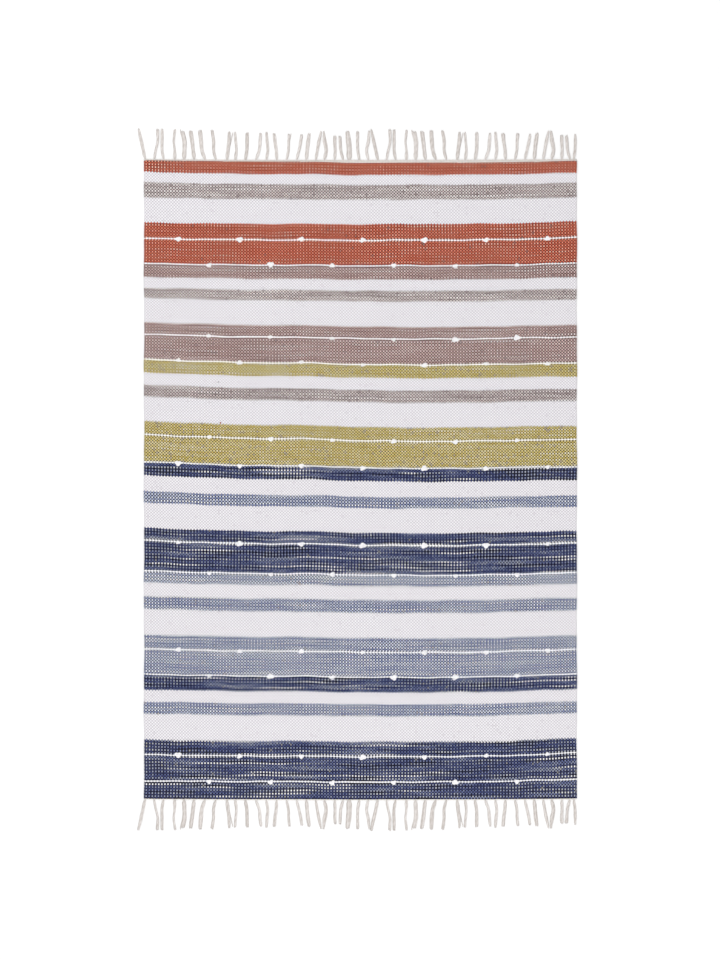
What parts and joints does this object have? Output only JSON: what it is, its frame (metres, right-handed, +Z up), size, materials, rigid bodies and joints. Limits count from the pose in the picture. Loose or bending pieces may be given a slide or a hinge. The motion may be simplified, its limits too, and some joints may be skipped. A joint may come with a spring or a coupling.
{
  "type": "flat-woven striped rug",
  "caption": "Flat rectangular cotton rug, woven in cross stripes, with raised knotted yarns across it and a loose warp fringe at both ends.",
  "frame": {"origin": "middle of the cloth on its underside, where it rests on the floor", "axes": "+Y along the length towards the rust-striped end, +X across the width, +Z up"},
  "size_m": [1.219, 1.9458, 0.0108],
  "materials": {
    "woven_cotton": "matt cotton weave, white with rust, taupe, olive, navy and blue-grey cross stripes",
    "fringe_cotton": "matt undyed cotton yarn, loose and slightly fuzzy"
  },
  "bodies": {
    "root": {"woven_cloth": "woven_cotton", "fringe_rust_end": "fringe_cotton", "fringe_navy_end": "fringe_cotton"}
  },
  "joints": []
}
